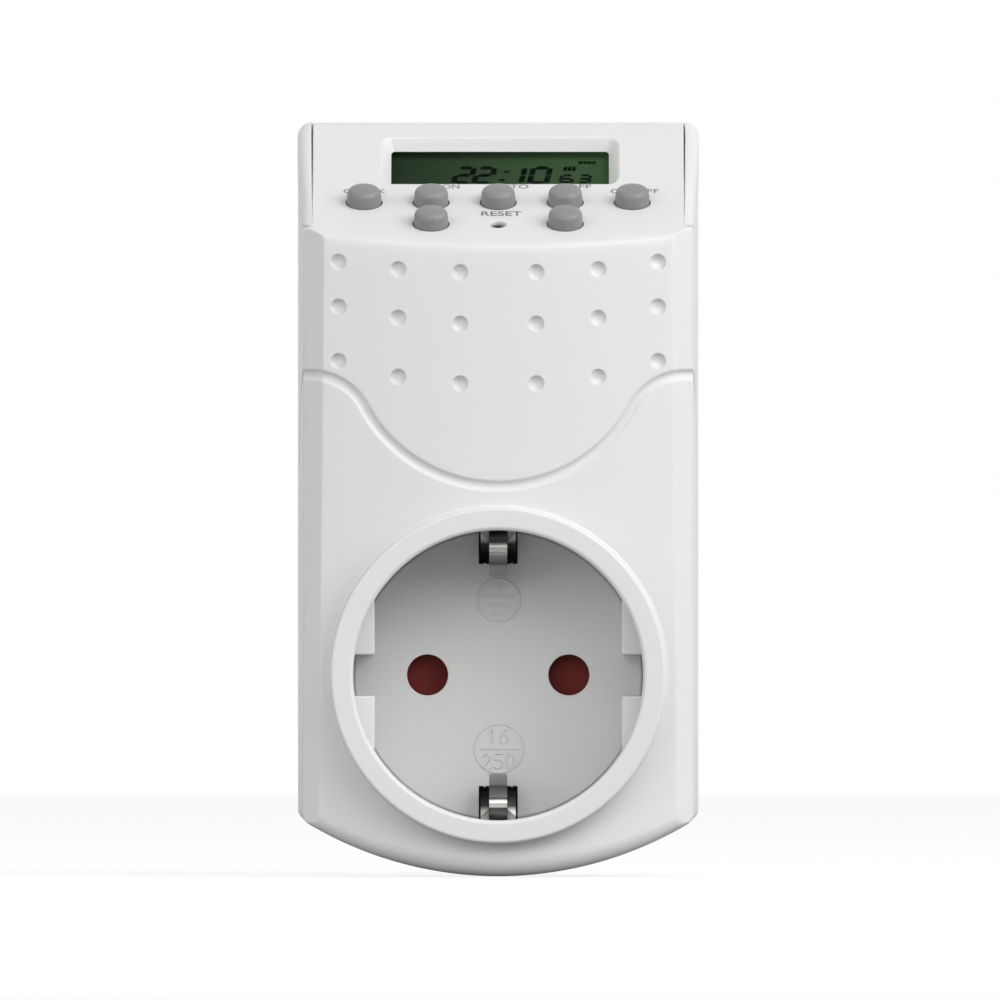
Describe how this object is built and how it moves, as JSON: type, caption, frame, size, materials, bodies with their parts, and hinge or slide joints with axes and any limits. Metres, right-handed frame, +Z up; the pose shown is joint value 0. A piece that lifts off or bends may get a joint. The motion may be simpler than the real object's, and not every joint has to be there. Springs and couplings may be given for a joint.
{
  "type": "plug in timer switch",
  "caption": "Plug-in digital timer switch for an earthed wall socket: sloping keypad and display panel above a recessed socket, plug body with two round pins behind",
  "frame": {"origin": "midway between the two plug pins, on the plug's end face", "axes": "+X to the right for a person facing the panel, +Y into the wall socket along the pins, +Z up"},
  "size_m": [0.0542, 0.076, 0.1014],
  "materials": {
    "housing_white": "satin moulded white, very fine texture",
    "window_clear": "clear polished plastic sheet",
    "display_frame": "moulded ivory plastic",
    "display_green": "dark green liquid crystal glass with black figures",
    "contact_rubber": "dark grey elastic strip",
    "key_grey": "satin mid grey",
    "mat_grey": "matt silicone rubber",
    "part_black": "matt black moulding",
    "plunger_white": "moulded off-white plastic",
    "board_green": "green solder mask",
    "screw_steel": "zinc-plated steel",
    "steel": "plain steel",
    "nickel": "nickel-plated brass",
    "brass": "stamped brass",
    "copper": "enamelled copper wire",
    "relay_blue": "blue moulded case",
    "relay_dark": "dark moulded base",
    "film_yellow": "yellow box case",
    "can_blue": "sleeved aluminium can",
    "disc_blue": "dipped blue coating",
    "body_tan": "lacquered ceramic body",
    "cable_grey": "flat insulated cable",
    "cell_steel": "plated steel can",
    "shutter_red": "dark red moulded plastic"
  },
  "bodies": {
    "housing": {"front_cover": "housing_white", "rear_housing": "housing_white", "housing_screws": "screw_steel", "display_window": "window_clear", "display_frame": "display_frame", "display_glass": "display_green", "display_contact_strips": "contact_rubber", "keypad_mat": "mat_grey", "reset_switch": "part_black", "control_board": "board_green", "control_board_screws": "screw_steel", "controller_chip": "part_black", "crystal": "steel", "backup_cell": "cell_steel", "cell_tabs": "cell_steel", "ribbon_cable": "cable_grey", "power_board": "board_green", "power_board_screws": "screw_steel", "relay_base": "relay_dark", "relay_case": "relay_blue", "relay_bobbin": "display_frame", "relay_winding": "copper", "relay_yoke": "steel", "relay_fixed_contact": "brass", "dropper_capacitor": "film_yellow", "smoothing_capacitor": "can_blue", "varistor": "disc_blue", "bridge_rectifier": "part_black", "fuse": "body_tan", "resistors": "body_tan", "relay_transistor": "part_black", "live_pin": "nickel", "neutral_pin": "nickel", "live_strip": "brass", "neutral_strip": "brass", "load_strip": "brass", "live_contact": "brass", "neutral_contact": "brass", "socket_earth_bracket": "nickel", "plug_earth_strap": "nickel", "earth_post": "brass", "shutter_spring": "steel", "shutter_cover": "housing_white", "shutter_cover_screws": "screw_steel"},
    "clock_key": {"key_clock": "key_grey"},
    "on_key": {"key_on": "key_grey"},
    "auto_key": {"key_auto": "key_grey"},
    "off_key": {"key_off": "key_grey"},
    "on_off_key": {"key_on_off": "key_grey"},
    "lower_left_key": {"key_lower_left": "key_grey"},
    "lower_right_key": {"key_lower_right": "key_grey"},
    "reset_plunger": {"reset_plunger": "plunger_white"},
    "shutter": {"shutter_rotor": "shutter_red"},
    "armature": {"relay_armature": "steel", "relay_moving_contact": "brass"}
  },
  "joints": [
    {"name": "clock_key_press", "type": "slide", "parent": "housing", "child": "clock_key", "axis": [0, 0.4226, -0.9063], "range_m": [0, 0.001], "stiffness_N_per_m": 1200, "deforming": ["keypad_mat"]},
    {"name": "on_key_press", "type": "slide", "parent": "housing", "child": "on_key", "axis": [0, 0.4226, -0.9063], "range_m": [0, 0.001], "stiffness_N_per_m": 1200, "deforming": ["keypad_mat"]},
    {"name": "auto_key_press", "type": "slide", "parent": "housing", "child": "auto_key", "axis": [0, 0.4226, -0.9063], "range_m": [0, 0.001], "stiffness_N_per_m": 1200, "deforming": ["keypad_mat"]},
    {"name": "off_key_press", "type": "slide", "parent": "housing", "child": "off_key", "axis": [0, 0.4226, -0.9063], "range_m": [0, 0.001], "stiffness_N_per_m": 1200, "deforming": ["keypad_mat"]},
    {"name": "on_off_key_press", "type": "slide", "parent": "housing", "child": "on_off_key", "axis": [0, 0.4226, -0.9063], "range_m": [0, 0.001], "stiffness_N_per_m": 1200, "deforming": ["keypad_mat"]},
    {"name": "lower_left_key_press", "type": "slide", "parent": "housing", "child": "lower_left_key", "axis": [0, 0.4226, -0.9063], "range_m": [0, 0.001], "stiffness_N_per_m": 1200, "deforming": ["keypad_mat"]},
    {"name": "lower_right_key_press", "type": "slide", "parent": "housing", "child": "lower_right_key", "axis": [0, 0.4226, -0.9063], "range_m": [0, 0.001], "stiffness_N_per_m": 1200, "deforming": ["keypad_mat"]},
    {"name": "reset_press", "type": "slide", "parent": "housing", "child": "reset_plunger", "axis": [0, 0.4226, -0.9063], "range_m": [0, 0.0003], "stiffness_N_per_m": 4000},
    {"name": "shutter_turn", "type": "hinge", "parent": "housing", "child": "shutter", "pos_m": [0, -0.0359, 0], "axis": [0, 1, 0], "range_deg": [0, 40], "stiffness_Nm_per_rad": 0.002, "deforming": ["shutter_spring"]},
    {"name": "armature_swing", "type": "hinge", "parent": "housing", "child": "armature", "pos_m": [0.0087, -0.036, 0.03085], "axis": [0, 0, 1], "range_deg": [-6, 0], "stiffness_Nm_per_rad": 0.02}
  ]
}
